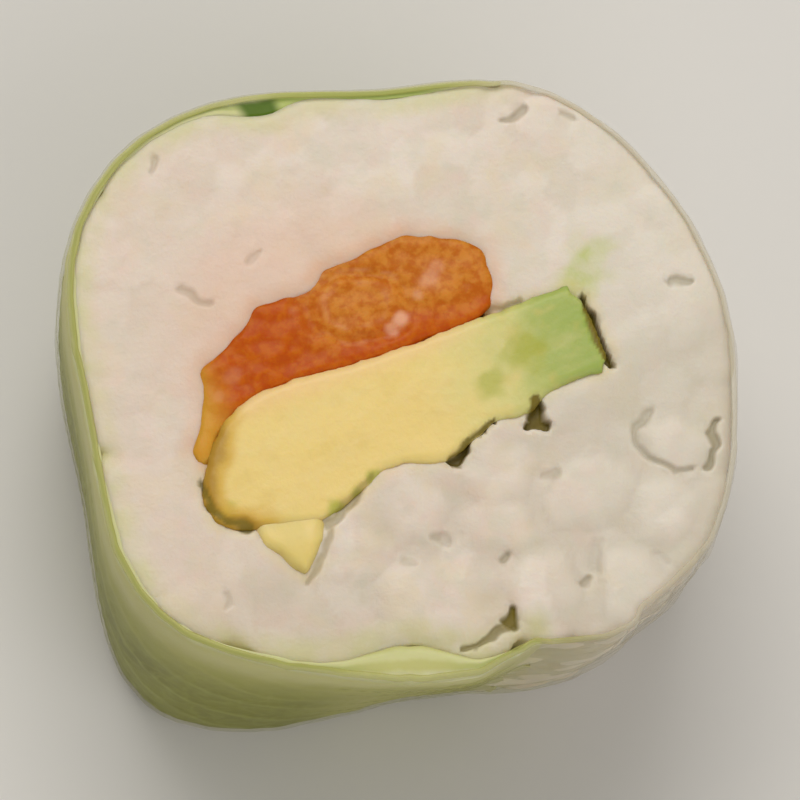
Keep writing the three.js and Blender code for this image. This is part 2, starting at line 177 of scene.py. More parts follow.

# Gaps between grains on the upper cut face: how deep, how strongly shade is painted in them, and points
# along with half widths.
CRACKS = [
    # beside the avocado
    (1.0, 1.0, [(12.3, 5.8, 0.2), (12.8, 4.1, 0.4), (13.4, 2.5, 0.4), (14.1, 1.1, 0.3)]),
    (1.0, 1.0, [(9.1, -1.4, 0.4), (9.15, -2.2, 0.7), (9.15, -2.6, 0.85)]),
    (1.0, 1.0, [(8.6, -2.95, 0.4), (9.7, -2.95, 0.4)]),
    (0.9, 0.95, [(3.6, -5.7, 0.4), (4.2, -4.9, 0.45), (5.1, -3.8, 0.35), (6.2, -2.9, 0.25)]),
    (0.3, 0.3, [(5.6, 4.4, 0.3), (6.6, 4.8, 0.5), (8.0, 5.5, 0.3)]),
    (0.15, 0.4, [(-4.6, -10.4, 0.35), (-5.2, -12.4, 0.35), (-6.2, -13.9, 0.4)]),
    (0.2, 0.5, [(-4.7, -10.1, 0.5), (-3.0, -8.2, 0.5), (-1.8, -6.9, 0.35)]),
    (0.25, 0.75, [(-13.2, -7.2, 0.2), (-13.0, -8.2, 0.3), (-12.4, -9.2, 0.35)]),
    (0.25, 0.8, [(-12.4, -9.2, 0.35), (-11.3, -9.95, 0.35), (-9.9, -10.3, 0.45)]),
    # between the front right grains
    (0.2, 0.36, [(16.6, -2.1, 0.5), (15.8, -2.9, 0.55), (15.7, -4.2, 0.45), (16.8, -5.3, 0.45)]),
    (0.2, 0.4, [(16.8, -5.3, 0.45), (18.6, -6.0, 0.5), (19.5, -5.9, 0.4)]),
    (0.35, 0.55, [(21.3, -2.5, 0.35), (20.8, -3.3, 0.6), (21.2, -4.3, 0.4), (20.7, -5.8, 0.5)]),
    (0.12, 0.3, [(9.6, -6.4, 0.6), (10.4, -6.3, 0.5)]),
    (0.25, 0.45, [(7.1, -11.9, 0.4), (6.7, -12.3, 0.45)]),
    (0.2, 0.2, [(13.1, -11.1, 0.6), (12.9, -12.6, 0.9)]),
    (0.25, 0.45, [(12.4, -13.4, 0.5), (12.2, -13.8, 0.65)]),
    (0.2, 0.3, [(2.5, -10.8, 0.5), (3.2, -11.0, 0.5)]),
    (0.12, 0.18, [(0.2, -12.4, 0.5), (0.8, -12.4, 0.5)]),
    (0.1, 0.18, [(17.0, -11.8, 0.5), (17.8, -12.3, 0.4)]),
    # between the rice and the leaf's end
    (0.45, 1.0, [(7.5, -15.7, 0.4), (7.4, -16.4, 0.85)]),
    (0.2, 0.8, [(7.0, -16.9, 0.45), (5.8, -17.7, 0.4), (4.2, -18.3, 0.3)]),
    # on the left and at the back
    (0.12, 0.2, [(-11.5, -14.9, 0.5), (-11.3, -15.6, 0.45)]),
    (0.12, 0.25, [(-14.6, 6.0, 0.5), (-13.8, 5.4, 0.35), (-12.9, 5.0, 0.5)]),
    (0.1, 0.18, [(-10.1, 8.0, 0.5), (-9.5, 8.5, 0.35)]),
    (0.2, 0.4, [(18.3, 6.9, 0.5), (19.4, 7.1, 0.45)]),
    (0.2, 0.4, [(8.3, 19.0, 0.4), (7.9, 18.2, 0.5), (6.9, 18.0, 0.35)]),
    (0.12, 0.25, [(10.8, 18.4, 0.35), (11.7, 18.1, 0.35)]),
    (0.12, 0.22, [(-16.3, 15.0, 0.45), (-16.7, 14.2, 0.35)]),
]
CRACK_WALL = (1.0, 0.5)  # share of the half width that the wall takes, in the palest gap and the darkest

# Swollen clumps of grains at the front right: middle, half lengths and turn.
CLUMPS = [
    ((2.2, -15.0), (4.6, 3.2), 0),
    ((9.5, -14.2), (2.5, 2.9), 20),
    ((15.4, -14.0), (2.6, 3.0), 45),
    ((18.4, -4.2), (2.5, 1.9), -15),
    ((6.6, -6.6), (2.6, 2.1), 35),
    ((1.0, -9.0), (2.4, 2.4), 0),
    ((-2.6, -12.2), (2.3, 1.9), 30),
    ((12.6, -7.6), (3.2, 2.4), 30),
    ((6.6, -10.0), (2.7, 1.8), -10),
    ((17.6, -8.9), (2.5, 2.2), 20),
]
# The valleys between the clumps sink by height and are painted with shade of the given strength.
CLUMP = {"height": 0.26, "fullness": 3.5, "shade": 0.12}
GREEN_SMEAR = [(11.5, 6.2, 1.5), (12.3, 7.5, 1.7), (12.9, 8.8, 1.5)]  # of avocado, as a gap's line

# The studio.
FLOOR_REACH = 3000
CAMERA_ELEVATION = 76
CAMERA_AZIMUTH = -102
CAMERA_DISTANCE = 500
CAMERA_TARGET = (0.0, -1.6, HEIGHT)
FIELD = 53.3  # how much the picture takes in at the target
LAMPS = [
    # name, place, size, watts and colour
    ("window", (-70, 330, 540), 420, 2.15, (1.0, 0.97, 0.92)),
    ("fill", (260, -320, 380), 500, 0.7, (1.0, 0.98, 0.95)),
]
SKY_STRENGTH = 0.36
SKY_COLOUR = (1.0, 0.975, 0.94, 1.0)

EAST = Vector((1, 0, 0))
rng = np.random.default_rng(RANDOM_SEED)


# ---- Plain sums.


def smoothstep(value, low, high):
    share = min(max((value - low) / (high - low), 0.0), 1.0)
    return share * share * (3 - 2 * share)


def between(low, high, share):
    return low + (high - low) * share


def angle_between(a, b):
    return (a - b + 180) % 360 - 180


def turned(x, y, angle):
    """A place's distances along and across a direction."""
    turn = radians(angle)
    return x * cos(turn) + y * sin(turn), y * cos(turn) - x * sin(turn)


def toward(angle):
    """The level direction at an angle."""
    a = radians(angle)
    return Vector((cos(a), sin(a), 0.0))


def raised(height):
    return Vector((0.0, 0.0, height))


def turn_of(angle):
    """The rotation about the roll's axis by an angle."""
    return Matrix.Rotation(radians(angle), 3, "Z")


def hump(away, half_width):
    """1 at the middle, 0 at half_width and past it."""
    share = min(abs(away) / half_width, 1.0)
    return 0.5 + 0.5 * cos(pi * share)


def soft_limit(value, limit, softness):
    """The value, brought smoothly under the limit. With ample room it stays as it is."""
    room = (limit - value) / softness
    return value if room > AMPLE else limit - softness * log1p(exp(room))


def unrolled(place):
    """A place on the wrappings, in millimetres, as an angle and a height."""
    return degrees(atan2(place.y, place.x)), place.z


def off_cuts(place):
    """How far a place is from the nearer cut face."""
    return min(place.z, HEIGHT - place.z)


def outward(place):
    """The level direction away from the roll's axis."""
    return Vector((place.x, place.y, 0.0)).normalized()


def srgb(code):
    """The linear colour of a six-figure hexadecimal code."""
    parts = [((code >> shift) & 255) / 255 for shift in (16, 8, 0)]
    return [c / 12.92 if c <= 0.04045 else ((c + 0.055) / 1.055) ** 2.4 for c in parts] + [1.0]


# ---- Materials.


SOCKETS = ["Base Color", "Roughness", "Specular IOR Level", "Alpha"]
SOCKETS += ["Subsurface Weight", "Subsurface Radius", "Subsurface Scale"]


class Look:
    """A material, with calls that add to its nodes. Places in it are in millimetres.

    A colour is a socket or a six-figure hexadecimal code.
    """

    def __init__(self, name, colour, roughness, gloss=0.5, alpha=1.0, glow=(0.0, (1.0, 1.0, 1.0), MM)):
        """glow: how much light scatters below the surface, how far in each colour, and the unit."""
        self.colour = colour
        self.material = bpy.data.materials.new(name)
        self.material.use_nodes = True
        tree = self.material.node_tree
        self.nodes = tree.nodes
        self.links = tree.links
        self.shader = self.nodes["Principled BSDF"]
        for socket, value in zip(SOCKETS, (srgb(colour), roughness, gloss, alpha, *glow)):
            self.shader.inputs[socket].default_value = value
        coordinates = self.add("ShaderNodeTexCoord", {}).outputs["Object"]
        self.place = self.vector("SCALE", {0: coordinates, "Scale": 1 / MM})

    def add(self, kind, inputs, **settings):
        node = self.nodes.new(kind)
        for key, value in settings.items():
            setattr(node, key, value)
        for key, value in inputs.items():
            if isinstance(value, bpy.types.NodeSocket):
                self.links.new(value, node.inputs[key])
            else:
                node.inputs[key].default_value = value
        return node

    def drive(self, socket, value):
        self.links.new(value, self.shader.inputs[socket])

    def vector(self, operation, inputs):
        return self.add("ShaderNodeVectorMath", inputs, operation=operation).outputs[0]

    def distance(self, place, point):
        node = self.add("ShaderNodeVectorMath", {0: place, 1: point}, operation="DISTANCE")
        return node.outputs["Value"]

    def math(self, operation, a, b=0.0):
        return self.add("ShaderNodeMath", {0: a, 1: b}, operation=operation).outputs[0]

    def times(self, a, b):
        return self.math("MULTIPLY", a, b)

    def axes(self, place):
        node = self.add("ShaderNodeSeparateXYZ", {0: place})
        return node.outputs[0], node.outputs[1], node.outputs[2]

    def attribute(self, name):
        return self.add("ShaderNodeAttribute", {}, attribute_name=name).outputs["Fac"]

    def fade(self, value, low, high, to_low=0.0, to_high=1.0):
        """to_low at and below low, to_high at and above high, and smooth between them."""
        ends = {"Value": value, "From Min": low, "From Max": high, "To Min": to_low, "To Max": to_high}
        return self.add("ShaderNodeMapRange", ends, interpolation_type="SMOOTHSTEP").outputs["Result"]

    def noise(self, size, detail=2.0, stretch=(1, 1, 1), seed=0.0):
        """Noise from 0 to 1, in blotches of about the given size, larger along a stretched axis."""
        scale = tuple(1 / (size * each) for each in stretch)
        where = self.vector("MULTIPLY_ADD", {0: self.place, 1: scale, 2: (seed, seed, seed)})
        inputs = {"Vector": where, "Scale": 1.0, "Detail": detail}
        return self.add("ShaderNodeTexNoise", inputs).outputs["Fac"]

    def mix(self, factor, a, b):
        a, b = (srgb(colour) if isinstance(colour, int) else colour for colour in (a, b))
        return self.add("ShaderNodeMix", {0: factor, 6: a, 7: b}, data_type="RGBA").outputs[2]

    def paint(self, factor, colour):
        """Lays a colour over the material's own, to the share that the factor gives."""
        self.colour = self.mix(factor, self.colour, colour)
        self.drive("Base Color", self.colour)

    def bump(self, height, distance):
        """A relief of the given height, in millimetres, where the noise goes from 0 to 1."""
        inputs = {"Height": height, "Distance": distance * MM, "Strength": 1.0}
        self.drive("Normal", self.add("ShaderNodeBump", inputs).outputs["Normal"])

    def filling_place(self):
        """The place in the fillings' frame: s, t and the height."""
        lean = (FILLING_LEAN[0] / HEIGHT, FILLING_LEAN[1] / HEIGHT, 0.0)
        depth = self.math("SUBTRACT", HEIGHT, self.axes(self.place)[2])
        drift = self.vector("SCALE", {0: lean, "Scale": depth})
        upright = self.vector("SUBTRACT", {0: self.place, 1: drift})
        turn = (0.0, 0.0, radians(FILLING_TURN))
        inputs = {"Vector": upright, "Location": (*FILLING_CENTRE, 0.0), "Rotation": turn}
        return self.add("ShaderNodeMapping", inputs, vector_type="TEXTURE").outputs[0]

    def angle(self):
        x, y, _ = self.axes(self.place)
        return self.math("DEGREES", self.math("ARCTAN2", y, x))

    def off_angle(self, middle):
        """How many degrees a place is from an angle, either way round."""
        return self.math("PINGPONG", self.math("SUBTRACT", self.angle(), middle), 180.0)


# Painted shade, laid into the bottoms of the gaps and the valleys between the clumps.
PAINTED_SHADE = 0x7A6A16  # the bottoms of the gaps
RICE_TINTS = [
    # size of the patches, seed, strength and colour
    (7.0, 0.0, 0.3, 0xDED3BF),
    (2.2, 11.0, 0.4, 0xE6CDBE),
    (2.8, 23.0, 0.35, 0xE2D2AC),
    (1.8, 31.0, 0.35, 0xD4CFB9),
]
RICE_STAINS = [
    # what the rice lies by, and its stain's colour, reach and strength
    ("by_leaf", 0xD6D19E, 1.7, 0.8),
    ("by_avocado", 0xEBD59A, 1.1, 0.45),
    ("by_salmon", 0xE7AC84, 1.6, 0.45),
]


def rice_look():
    look = Look("cooked_rice", 0xDFD1C0, roughness=0.42, gloss=0.4, glow=(0.5, (1.0, 0.75, 0.5), 1.2 * MM))
    look.paint(look.attribute("tone"), 0xE9DDCF)
    for size, seed, strength, tint in RICE_TINTS:
        patch = look.fade(look.noise(size, seed=seed), 0.48, 0.7, 0.0, strength)
        look.paint(patch, tint)
    x = look.math("ADD", look.axes(look.place)[0], look.times(look.noise(4.0), 6.0))
    # Pinker towards the left. Towards the right it is paler and cooler, a painted light that makes up for
    # the lamps' weaker light there.
    look.paint(look.fade(x, -12.0, -2.0, 0.25, 0.0), 0xE2C8B6)
    look.paint(look.fade(x, 9.0, 19.0, 0.0, 0.45), 0xDFDBCC)
    from_salmon = look.distance(look.filling_place(), (-4.0, 6.5, HEIGHT))
    pink = look.fade(look.math("ADD", from_salmon, look.noise(3.0)), 7.0, 13.0, 0.55, 0.0)
    look.paint(pink, 0xE8C3AC)
    frayed = look.fade(look.noise(1.8, detail=3.0), 0.35, 0.65, 0.45, 1.0)
    look.paint(look.times(look.attribute("smear"), frayed), 0xC8CD88)
    for name, stain, _, _ in RICE_STAINS:
        look.paint(look.times(look.attribute(name), frayed), stain)
    # Painted shade in the gaps and in the valleys between the clumps.
    look.paint(look.attribute("shade"), PAINTED_SHADE)
    grain = look.math("ADD", look.noise(0.8, detail=3.0), look.times(look.noise(0.25), 0.3))
    look.bump(grain, 0.05)
    return look.material


def avocado_look():
    look = Look("avocado_flesh", 0xF0D584, roughness=0.4, gloss=0.35, glow=(0.35, (1.2, 0.9, 0.3), MM))
    look.place = look.filling_place()
    s, t, _ = look.axes(look.place)
    along = look.math("ADD", s, look.times(look.noise(2.2, detail=3.0), 4.0))
    look.paint(look.fade(along, 2.0, 8.5), 0xDFD58A)
    look.paint(look.fade(along, 7.0, 13.5), 0xA9B95F)
    look.paint(look.fade(along, 13.0, 17.0), 0x98B14F)
    streaks = look.fade(look.noise(1.6, stretch=(2.0, 0.8, 1.0)), 0.42, 0.8, 0.0, 0.25)
    look.paint(streaks, 0xE9D59A)
    mottle = look.fade(look.noise(1.8, seed=4.0), 0.5, 0.75, 0.0, 0.35)
    look.paint(mottle, 0xE3C670)
    peach = look.times(look.fade(t, 2.2, 3.8, 0.0, 0.6), look.fade(s, 3.0, 8.0, 1.0, 0.0))
    look.paint(peach, 0xF6CC93)
    # The last of these marks, shade, is painted shade from the gaps that reach over the flesh.
    for name, tint in (("spot", 0xAEB23A), ("golden", 0xD8AE3C), ("amber", 0xAD8222), ("shade", PAINTED_SHADE)):
        look.paint(look.attribute(name), tint)
    look.bump(look.noise(0.9, detail=3.0), 0.06)
    return look.material


def salmon_look():
    look = Look("raw_salmon", 0xBE5000, roughness=0.4, gloss=0.15, glow=(0.3, (1.6, 0.5, 0.15), MM))
    look.place = look.filling_place()
    s, t, _ = look.axes(look.place)
    across = look.math("ADD", t, look.times(look.noise(2.5), 3.0))
    pale_side = look.times(look.fade(s, -6.5, -2.0), look.fade(across, 5.8, 8.3))
    lumps = look.fade(look.noise(0.6, detail=3.0), 0.33, 0.68)
    look.paint(lumps, 0xCA6400)
    look.paint(pale_side, look.mix(lumps, 0xC2680E, 0xD6882E))
    # Pale fat rings and spots. The spots in the middle are also painted highlights.
    look.paint(look.attribute("fat_and_highlights"), 0xF2B794)
    look.paint(look.fade(s, -13.4, -10.4, 0.95, 0.0), 0xD99E36)
    # Painted shade from the gaps that reach over the flesh.
    look.paint(look.attribute("shade"), PAINTED_SHADE)
    grain = look.math("ADD", look.noise(0.6, detail=3.0), look.noise(1.5))
    look.bump(grain, 0.06)
    return look.material


def leaf_edge(look, angle):
    """The colour of the leaf's cut edge: from its inner side to its outer one, and along it."""
    outer = look.math("ADD", look.attribute("outer"), look.times(look.noise(1.5), 0.25))
    from_rib = look.off_angle(LEAF_RIB)
    inner = look.mix(look.fade(from_rib, 4.0, 16.0), 0xB2B45A, 0xCFD09C)
    colour = look.mix(look.fade(outer, 0.15, 0.4), inner, 0xCFCF90)
    green = look.mix(look.fade(from_rib, 4.0, 18.0), 0xBCBB68, 0xAEB768)
    colour = look.mix(look.fade(outer, 0.45, 0.65), colour, green)
    colour = look.mix(look.fade(outer, 0.75, 1.0), colour, 0xDEDDB8)
    colour = look.mix(0.15, colour, 0xDEDBB4)
    bright = look.times(look.fade(angle, 78.0, 88.0, 0.0, 0.6), look.fade(angle, 112.0, 118.0, 1.0, 0.0))
    colour = look.mix(bright, colour, 0x9DB83A)
    thin = look.times(look.fade(angle, 0.0, 10.0), look.fade(angle, 74.0, 82.0, 0.9, 0.0))
    return outer, look.mix(thin, colour, 0xDAD4B4)


def leaf_look():
    look = Look("lettuce", 0x787B14, roughness=0.4, gloss=0.2, glow=(0.2, (0.6, 0.9, 0.2), 0.6 * MM))
    height = look.axes(look.place)[2]
    look.paint(look.fade(look.noise(5.0, detail=4.0), 0.35, 0.7), 0x888B24)
    wander = look.add("ShaderNodeTexNoise", {"Vector": look.place, "Scale": 0.35, "Detail": 3.0})
    netted = look.vector("MULTIPLY_ADD", {0: wander.outputs["Color"], 1: (5.0, 5.0, 5.0), 2: look.place})
    cells = look.add("ShaderNodeTexVoronoi", {"Vector": netted, "Scale": 0.5}, feature="DISTANCE_TO_EDGE")
    look.paint(look.fade(cells.outputs["Distance"], 0.0, 0.14, 0.22, 0.0), 0xB9BC62)
    from_rib = look.off_angle(LEAF_RIB)
    off_vein = look.math("PINGPONG", look.attribute("vein_rise"), VEIN["spacing"] / 2)
    along = look.times(from_rib, radians(MEAN_RADIUS))
    near_rib = look.fade(along, VEIN["reach"] / 2, VEIN["reach"], 0.25, 0.0)
    on_vein = look.fade(off_vein, 0.0, 0.8 * VEIN["width"], 1.0, 0.0)
    look.paint(look.times(on_vein, near_rib), 0xC5C67A)
    look.paint(look.fade(from_rib, 6.0, 22.0, 0.7, 0.0), 0xC6C378)
    # Painted light and shade: the leaf is painted paler up towards the rim, where the light falls, and its
    # darker lower green, partly its own colour, stands in for the shade at the base. The band just under
    # the rim is partly the thin leaf's paler colour and partly a painted highlight.
    look.paint(look.fade(height, 13.0, LEAF_RIM - 2.0, 0.0, 0.85), 0xC2C168)
    look.paint(look.fade(height, LEAF_RIM - 6.0, LEAF_RIM - 1.0, 0.0, 0.9), 0xE0DCA2)
    for end in LEAF_ENDS:
        look.paint(look.fade(look.off_angle(end), 2.0, 14.0, 0.75, 0.0), 0xD2CC9E)
    outer, edge = leaf_edge(look, look.angle())
    look.paint(look.fade(height, LEAF_RIM - 0.7, LEAF_RIM - 0.15), edge)
    by_fold = look.fade(look.off_angle(LEAF_FOLD), 2.0, 4.5, 0.97, 0.0)
    look.paint(look.times(by_fold, look.fade(outer, 0.75, 1.0, 1.0, 0.0)), 0x4E6C02)
    look.bump(look.noise(1.6, detail=3.0), 0.05)
    return look.material


def paper_look(name, alpha, roughness):
    look = Look(name, 0xBCBA64, roughness=roughness, gloss=0.3, alpha=alpha)
    angle = look.angle()
    over_rice = look.times(look.fade(angle, -60.0, -46.0), look.fade(angle, 66.0, 78.0, 1.0, 0.0))
    look.paint(over_rice, 0xD2C8AC)
    look.bump(look.noise(2.4, detail=3.0, stretch=(1.0, 1.0, 2.5)), 0.06)
    return look.material


def floor_look():
    look = Look("floor", 0xDEDCD8, roughness=0.7)
    look.bump(look.noise(2.0), 0.02)
    return look.material


# ---- Meshes.


def in_scene(name, data):
    thing = bpy.data.objects.new(name, data)
    bpy.context.scene.collection.objects.link(thing)
    return thing


def own_copy(node, name):
    """A piece with a CAD node's mesh, to be changed and to stand for it."""
    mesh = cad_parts[node].data.copy()
    mesh.name = name
    piece = in_scene(name, mesh)
    change(piece, lambda bm: bmesh.ops.remove_doubles(bm, verts=bm.verts, dist=1e-3 * MM))
    return piece


def change(piece, edit):
    bm = bmesh.new()
    bm.from_mesh(piece.data)
    edit(bm)
    bm.to_mesh(piece.data)
    bm.free()


def modify(piece, kind, **settings):
    """Puts a modifier on a piece and applies it."""
    modifier = piece.modifiers.new(kind.lower(), kind)
    for key, value in settings.items():
        setattr(modifier, key, value)
    graph = bpy.context.evaluated_depsgraph_get()
    mesh = bpy.data.meshes.new_from_object(piece.evaluated_get(graph))
    mesh.name = piece.name
    piece.modifiers.clear()
    piece.data = mesh


def move_points(piece, shift):
    """Moves each point by what shift gives for its place and normal, all in millimetres."""
    normals = [vertex.normal.copy() for vertex in piece.data.vertices]
    for vertex, normal in zip(piece.data.vertices, normals):
        vertex.co += shift(vertex.co / MM, normal) * MM
    piece.data.update()


def mark(piece, name, measure):
    """Keeps what measure gives for each point's place, for the look."""
    attribute = piece.data.attributes.new(name, "FLOAT", "POINT")
    attribute.data.foreach_set("value", [measure(vertex.co / MM) for vertex in piece.data.vertices])


def tree_over(node):
    """A search tree over a CAD node's surface, in millimetres."""
    bm = bmesh.new()
    bm.from_mesh(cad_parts[node].data)
    bmesh.ops.scale(bm, vec=(1 / MM,) * 3, verts=bm.verts)
    tree = BVHTree.FromBMesh(bm)
    bm.free()
    return tree


def finished(piece, material, node):
    piece.data.materials.clear()
    piece.data.materials.append(material)
    piece.data.shade_smooth()
    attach(piece, "root")
    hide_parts(node)


# ---- The wrappings.


def measured(node, inner):
    """Radii of a packed sheet's inner or outer face, by rows of heights and columns of angles."""
    tree = tree_over(node)
    radii = np.full((WRAP_ROWS, WRAP_COLUMNS), np.nan)
    for row, level in enumerate(WRAP_HEIGHTS):
        for column, angle in enumerate(WRAP_ANGLES):
            out = toward(angle)
            axis = raised(level)
            start, way = (axis, out) if inner else (axis + out * FAR, -out)
            hit = tree.ray_cast(start, way, FAR)[0]
            if hit:
                radii[row, column] = hypot(hit.x, hit.y)
    return radii


def blurred(table):
    weights = np.hanning(2 * WRAP_BLUR + 1)
    shifts = range(-WRAP_BLUR, WRAP_BLUR + 1)
    rolled = (weight * np.roll(table, shift, axis=1) for weight, shift in zip(weights, shifts))
    return sum(rolled) / weights.sum()


def carried_on(table):
    """The table with its empty columns filled from the nearest full ones."""
    columns = np.arange(WRAP_COLUMNS)
    full = columns[~np.isnan(table).any(axis=0)]
    away = np.abs((columns[:, None] - full[None] + WRAP_COLUMNS / 2) % WRAP_COLUMNS - WRAP_COLUMNS / 2)
    return table[:, full[away.argmin(axis=1)]]


def beside(table, place):
    """What a table gives at a place's angle and height."""
    column = unrolled(place)[0] % 360 / 360 * WRAP_COLUMNS
    row = (place.z - WRAP_MARGIN) / (HEIGHT - 2 * WRAP_MARGIN) * (WRAP_ROWS - 1)
    row = min(max(row, 0.0), WRAP_ROWS - 1.001)
    left = int(column) % WRAP_COLUMNS
    right = (left + 1) % WRAP_COLUMNS
    low = int(row)
    share = column - int(column)
    under = between(table[low, left], table[low, right], share)
    over = between(table[low + 1, left], table[low + 1, right], share)
    return float(between(under, over, row - low))


def drawn_back(end, height):
    """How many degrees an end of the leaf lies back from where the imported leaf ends."""
    share = 0.5 + noise(Vector((end, height / RAGGED_END["size"], 0.0)))
    return RAGGED_END["most"] * share * smoothstep(HEIGHT - height, *RAGGED_END["fade"])


def covered():
    """1 where the leaf lies under the skin, else 0, laid out as the radii are."""
    start, end = LEAF_ENDS
    rows = []
    for level in WRAP_HEIGHTS:
        first = start + drawn_back(start, level)
        last = end - drawn_back(end, level)
        rows.append((WRAP_ANGLES - first) % 360 < last - first)
    return np.array(rows, float)


skin_face = blurred(measured("rice_paper", inner=False))
leaf_cover = blurred(covered())
leaf_outside = blurred(carried_on(measured("lettuce_leaf", inner=False)))
leaf_inside = blurred(carried_on(measured("lettuce_leaf", inner=True)))
leaf_rise = skin_face - PAPER_THICKNESS + SHEET_OVERLAP - leaf_outside
rice_face = leaf_cover * (leaf_inside + leaf_rise + RICE_OVERLAP["leaf"])
rice_face += (1 - leaf_cover) * (skin_face - PAPER_THICKNESS + RICE_OVERLAP["paper"])


def tuck(place):
    """How far the wrappings and the rice curl in at a place near a cut edge."""
    share = min(max(1 - off_cuts(place) / TUCK["height"], 0.0), 1.0)
    depth = between(TUCK["bare"], TUCK["leaf"], beside(leaf_cover, place))
    return depth * (1 - sqrt(1 - share * share))


def smooth_sheet(node, name):
    """A CAD sheet with its facets smoothed away and its rim kept."""

    def prepare(bm):
        limits = {"angle_face_threshold": radians(40), "angle_shape_threshold": radians(60)}
        bmesh.ops.join_triangles(bm, faces=bm.faces, **limits)
        crease = bm.edges.layers.float.new("crease_edge")
        for edge in bm.edges:
            if edge.calc_face_angle(0) > RIM_ANGLE:
                edge[crease] = RIM_CREASE

    piece = own_copy(node, name)
    change(piece, prepare)
    modify(piece, "SUBSURF", levels=LEAF_LEVELS, render_levels=LEAF_LEVELS)
    return piece


def off_rib(angle):
    """How far along the leaf a place is from the midrib."""
    return radians(abs(angle_between(angle, LEAF_RIB))) * MEAN_RADIUS


def vein_rise(angle, height):
    """A place's height over the lowest side vein. The veins slope up from the midrib."""
    along = off_rib(angle)
    wobble = VEIN["wobble"] * noise(Vector((along / 6, height / 6, 3.0)))
    return height - VEIN["slope"] * along + wobble


def vein(angle, height):
    """1 on the ridge of a side vein, 0 beside it."""
    rise = vein_rise(angle, height) % VEIN["spacing"]
    off = min(rise, VEIN["spacing"] - rise)
    return hump(off, VEIN["width"]) * (1 - smoothstep(off_rib(angle), VEIN["reach"] / 2, VEIN["reach"]))


def pucker(angle, height):
    """Folds that fan out of the corner where the paper's outer end meets the cut face."""
    along = radians(angle_between(angle, PAPER_END)) * MEAN_RADIUS
    up = height - (HEIGHT - PUCKER["below_top"])
    reach = hypot(along, up)
    fold = max(0.0, sin(atan2(up, along) * PUCKER["folds"]))
    fades = smoothstep(reach, 0.5, 4.0) * (1 - smoothstep(reach, PUCKER["reach"] / 2, PUCKER["reach"]))
    return PUCKER["height"] * fold * fold * fades


def waves(form, angle, height=0.0):
    """Waves over the wrappings. The more turns, the more waves go round the roll."""
    where = toward(angle) * form["turns"] + raised(height / form["size"] + form["seed"])
    return form["height"] * noise(where)


def leaf_relief(angle, height):
    """How far the leaf, and the paper over it, stands out from its smooth form."""
    return waves(RUFFLE, angle, height) + VEIN["height"] * vein(angle, height) + pucker(angle, height)


def paper_relief(angle, height):
    return leaf_relief(angle, height) + waves(CRINKLE, angle, height)


def level_rim(piece, level):
    """Brings a piece's upper rim near a level, with few of its own waves left."""
    tops = {}
    for vertex in piece.data.vertices:
        angle, height = unrolled(vertex.co / MM)
        tops[round(angle)] = max(tops.get(round(angle), 0.0), height)
    angles, heights = zip(*sorted(tops.items()))

    def shift(place, _):
        angle, height = unrolled(place)
        top = np.interp(angle, angles, heights, period=360)
        rise = (level - top) * (1 - RIM_WAVINESS)
        return raised(rise * smoothstep(height, top - RIM_REACH, top))

    move_points(piece, shift)


def paper_section():
    """Heights and depths under the outer face, up the outside and down the inside."""
    half = PAPER_THICKNESS / 2
    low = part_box("rice_paper")[0].z / MM + half
    high = PAPER_RIM - half
    heights = [low + (high - low) * row / PAPER_ROWS for row in range(PAPER_ROWS + 1)]
    turns = [pi * step / PAPER_TURNS for step in range(1, PAPER_TURNS)]
    outer = [(height, 0.0) for height in heights]
    over = [(high + half * sin(turn), half * (1 - cos(turn))) for turn in turns]
    inner = [(height, PAPER_THICKNESS) for height in reversed(heights)]
    under = [(low - half * sin(turn), half * (1 + cos(turn))) for turn in turns]
    return outer + over + inner + under


def rice_paper():
    """The skin. Its lapped layers stick together, so they are one here."""
    section = paper_section()
    count = len(section)
    points = []
    faces = []
    for column in range(PAPER_COLUMNS):
        angle = 360 * column / PAPER_COLUMNS
        out = toward(angle)
        after = (column + 1) % PAPER_COLUMNS * count
        for row, (height, depth) in enumerate(section):
            up = height + waves(RIM_WAVE, angle) * smoothstep(height, PAPER_RIM - RIM_REACH, PAPER_RIM)
            level = out + raised(height)
            radius = beside(skin_face, level) + paper_relief(angle, height) - depth - tuck(level)
            points.append((out * radius + raised(up)) * MM)
            a = column * count
            above = (row + 1) % count
            faces.append((a + row, after + row, after + above, a + above))
    mesh = bpy.data.meshes.new("rice_paper_skin")
    mesh.from_pydata(points, [], faces)
    piece = in_scene("rice_paper_skin", mesh)
    finished(piece, paper_look("wet_rice_paper", alpha=0.18, roughness=0.34), "rice_paper")
    mesh.materials.append(paper_look("rice_paper_edge", alpha=0.5, roughness=0.5))
    for face in mesh.polygons:
        on_rim = PAPER_ROWS <= face.index % count < PAPER_ROWS + PAPER_TURNS
        face.material_index = 1 if on_rim else 0


def lettuce_leaf():
    piece = smooth_sheet("lettuce_leaf", "lettuce_leaf_blade")
    mark(piece, "vein_rise", lambda place: vein_rise(*unrolled(place)))

    def share_across(place):
        inner = beside(leaf_inside, place)
        return (hypot(place.x, place.y) - inner) / (beside(leaf_outside, place) - inner)

    mark(piece, "outer", share_across)

    def shift(place, _):
        angle, height = unrolled(place)
        back = 0.0
        for end, way in zip(LEAF_ENDS, (1, -1)):
            near = 1 - smoothstep(abs(angle_between(angle, end)), 0.0, RAGGED_END["reach"])
            back += way * near * drawn_back(end, height)
        moved = turn_of(back) @ place
        under = beside(leaf_outside, place) - hypot(place.x, place.y)
        radius = beside(skin_face, moved) - PAPER_THICKNESS + SHEET_OVERLAP - under - tuck(moved)
        radius += leaf_relief(angle + back, height)
        return outward(moved) * radius + raised(height) - place

    move_points(piece, shift)
    level_rim(piece, LEAF_RIM)
    finished(piece, leaf_look(), "lettuce_leaf")


# ---- The fillings.


